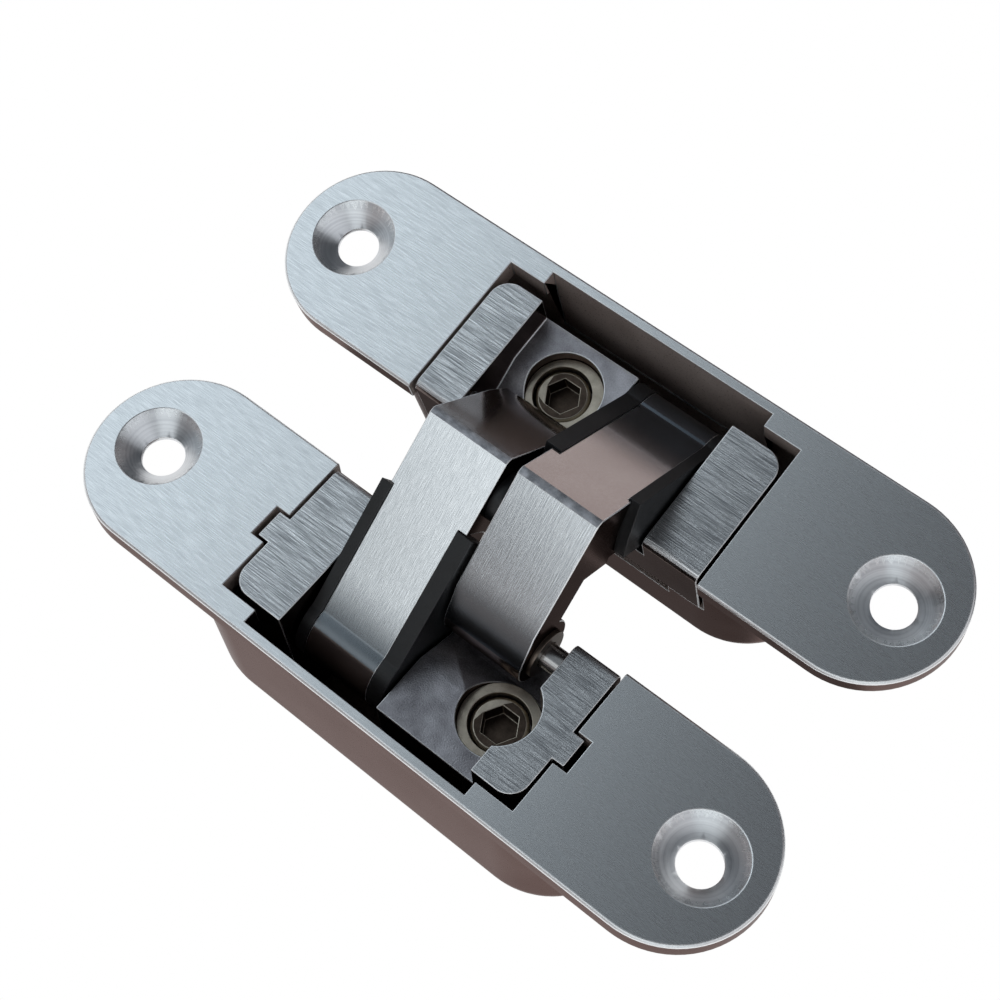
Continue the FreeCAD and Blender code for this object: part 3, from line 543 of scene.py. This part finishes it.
for end, screw_x in SCREW_X.items():
    dress(end + "_screw", PLACE[end], "adjuster", [zinc_finish, socket_painted_shade, zinc_finish],
          screw_face(screw_x), ease_mm=0.10)
    for piece in ("eccentric_bush", "spring_washer", "nut"):
        dress_plain(f"{end}_{piece}", end, "adjuster", zinc_finish)
    dress_plain(end + "_pivot_pin", end, "pin", pin_finish, ease_mm=0.06)
for arm in ("left_arm", "right_arm"):
    for piece, finish, slot in (("outer_pad", nylon_finish, "side_pad"),
                                ("inner_pad", nylon_finish, "side_pad"),
                                ("slide_pin", pin_finish, "pin"),
                                ("slide_bush", bush_finish, "bush"),
                                ("pivot_bush", bush_finish, "bush")):
        dress_plain(f"{arm}_{piece}", arm, slot, finish)
dress_plain("centre_pin", "left_arm", "pin", pin_finish)
dress_plain("centre_washer", "left_arm", "side_pad", nylon_finish)

# %% [markdown]
# ## The floor
# The photograph has a plain white ground without a shadow. The floor is pale and matt, and only
# what the camera sees directly, or mirrored in metal, is set to white. All other light still
# falls on a real floor, so the object keeps its contact shadow in the light that it bounces back.

# %% Floor
FLOOR_Z = cad_low.z - 0.2 * MM
REACH = 6.0


def flat_piece(name, corners, material):
    mesh = bpy.data.meshes.new(name)
    mesh.from_pydata(corners, [], [range(len(corners))])
    mesh.materials.append(material)
    piece = bpy.data.objects.new(name, mesh)
    bpy.context.scene.collection.objects.link(piece)
    return piece


def level_corners(low_x, high_x, low_y, high_y, z):
    return [(low_x, low_y, z), (high_x, low_y, z), (high_x, high_y, z), (low_x, high_y, z)]


paper, tree, shader = new_material("white_paper", {"Base Color": linear("#ededed"), "Roughness": 0.9})
seen = add(tree, "LightPath")
direct = add(tree, "Math", {"operation": "MAXIMUM"},
             {"Value": seen.outputs["Is Camera Ray"], "Value_001": seen.outputs["Is Glossy Ray"]})
clear = add(tree, "Math", {"operation": "MAXIMUM"},
            {"Value": direct.outputs["Value"], "Value_001": seen.outputs["Is Transmission Ray"]})
white = add(tree, "Emission", {"Color": (1, 1, 1, 1), "Strength": 1.0})
either = tree.nodes.new("ShaderNodeMixShader")
for at, source in enumerate((clear.outputs["Value"], shader.outputs["BSDF"], white.outputs["Emission"])):
    tree.links.new(source, either.inputs[at])
tree.links.new(either.outputs["Shader"], tree.nodes["Material Output"].inputs["Surface"])
flat_piece("floor", level_corners(-REACH, REACH, -REACH, REACH, FLOOR_Z), paper)
print("floor height in mm:", round(FLOOR_Z / MM, 2))

# %% [markdown]
# ## The light
# Metal shows the room more than its own colour, so the room is what is designed here. The
# faceplates go from pale at their left ends to dark at their right ends: a large soft light stands
# high on the left, and the ceiling over the right is dark. A second light stands far out on the
# right, for what faces there. The horizon is pale and warm, and that is what the polished faces show. The
# arms' near faces are nearly white: a third light stands in front, with a lower edge that leaves
# their lower ends in the dark. The world carries all of them as soft steps in the direction of
# the ray, which has no edges and no noise.

# %% Soft studio world
ROOM = (0.070, 0.072, 0.078, 1)
LEFT_LIGHT = (0.93, 1.03, 1.10, 1)
RIGHT_LIGHT = (0.85, 0.87, 0.90, 1)
HORIZON = (0.52, 0.47, 0.465, 1)
FRONT_LIGHT = (0.96, 1.0, 1.02, 1)
WHITE = (1, 1, 1, 1)

world = bpy.data.worlds.new("soft_studio")
world.use_nodes = True
bpy.context.scene.world = world
tree = world.node_tree
direction = add(tree, "TexCoord").outputs["Generated"]


def toward(way, start, stop):
    along = add(tree, "VectorMath", {"operation": "DOT_PRODUCT", "Vector_001": way},
                {"Vector": direction}).outputs["Value"]
    return add(tree, "MapRange", {"interpolation_type": "SMOOTHSTEP", "From Min": start, "From Max": stop},
               {"Value": along}).outputs["Result"]


def both(a, b):
    return add(tree, "Math", {"operation": "MULTIPLY"}, {"Value": a, "Value_001": b}).outputs["Value"]


on_left = both(toward((-1, 0, 0), 0.13, 0.50), toward((0, 0, 1), 0.4, 0.65))
on_right = toward((1, 0, 0), 0.55, 0.8)
low_down = add(tree, "Math", {"operation": "SUBTRACT", "Value": 1.0},
               {"Value_001": toward((0, 0, 1), 0.05, 0.38)}).outputs["Value"]
in_front = both(toward((0, -1, 0), 0.5, 0.68), toward((0.4, -0.3, 0.86), 0.465, 0.55))
sky = mix(tree, on_left, ROOM, LEFT_LIGHT)
for place, light in ((on_right, RIGHT_LIGHT), (low_down, HORIZON), (in_front, FRONT_LIGHT),
                     (add(tree, "LightPath").outputs["Is Camera Ray"], WHITE)):
    sky = mix(tree, place, sky, light)
tree.links.new(sky, tree.nodes["Background"].inputs["Color"])
print("world nodes:", len(tree.nodes))

# %% [markdown]
# ## A low card behind
# The right arm's far face is as good as a mirror that lies nearly level with the eye's line. Near
# its crest it shows the pale warm horizon, and lower down the dark of the room behind the rear
# half. A low dark card stands there and is hidden from the camera. With the horizon alone the
# face would stay pale down to the trough.

# %% Low card behind
CARD_Y = 100 * MM
CARD_TOP = 9 * MM
CARD_REACH = 150 * MM

card_material = new_material("dark_card", {"Base Color": linear("#39424f"), "Roughness": 0.8})[0]
card = flat_piece("card_behind", [(-CARD_REACH, CARD_Y, FLOOR_Z), (CARD_REACH, CARD_Y, FLOOR_Z),
                                  (CARD_REACH, CARD_Y, CARD_TOP), (-CARD_REACH, CARD_Y, CARD_TOP)],
                  card_material)
card.visible_camera = False
print("card height in mm:", round((CARD_TOP - FLOOR_Z) / MM))

# %% [markdown]
# ## The hinge's own shade on the paper
# The wall of the far half that faces the fold mirrors the paper right under the hinge, where it
# lies in the hinge's own shade. The white floor would make that wall as pale as the front one, so
# a narrow grey strip lies there, seen by the metal and not by the camera.

# %% Shade under the fold
SHADE = 0.30
STRIP_MM = (-45, 47, 13, 31)
STRIP_LIFT_MM = 0.1

shaded = new_material("shaded_paper", {"Base Color": (0, 0, 0, 1), "Specular IOR Level": 0.0,
                                       "Emission Color": (SHADE, SHADE, SHADE, 1),
                                       "Emission Strength": 1.0})[0]
strip_sides = [value * MM for value in STRIP_MM]
shade = flat_piece("shade_under_fold", level_corners(*strip_sides, FLOOR_Z + STRIP_LIFT_MM * MM), shaded)
shade.visible_camera = False
print("shade strip in mm:", STRIP_MM[1] - STRIP_MM[0], "by", STRIP_MM[3] - STRIP_MM[2])
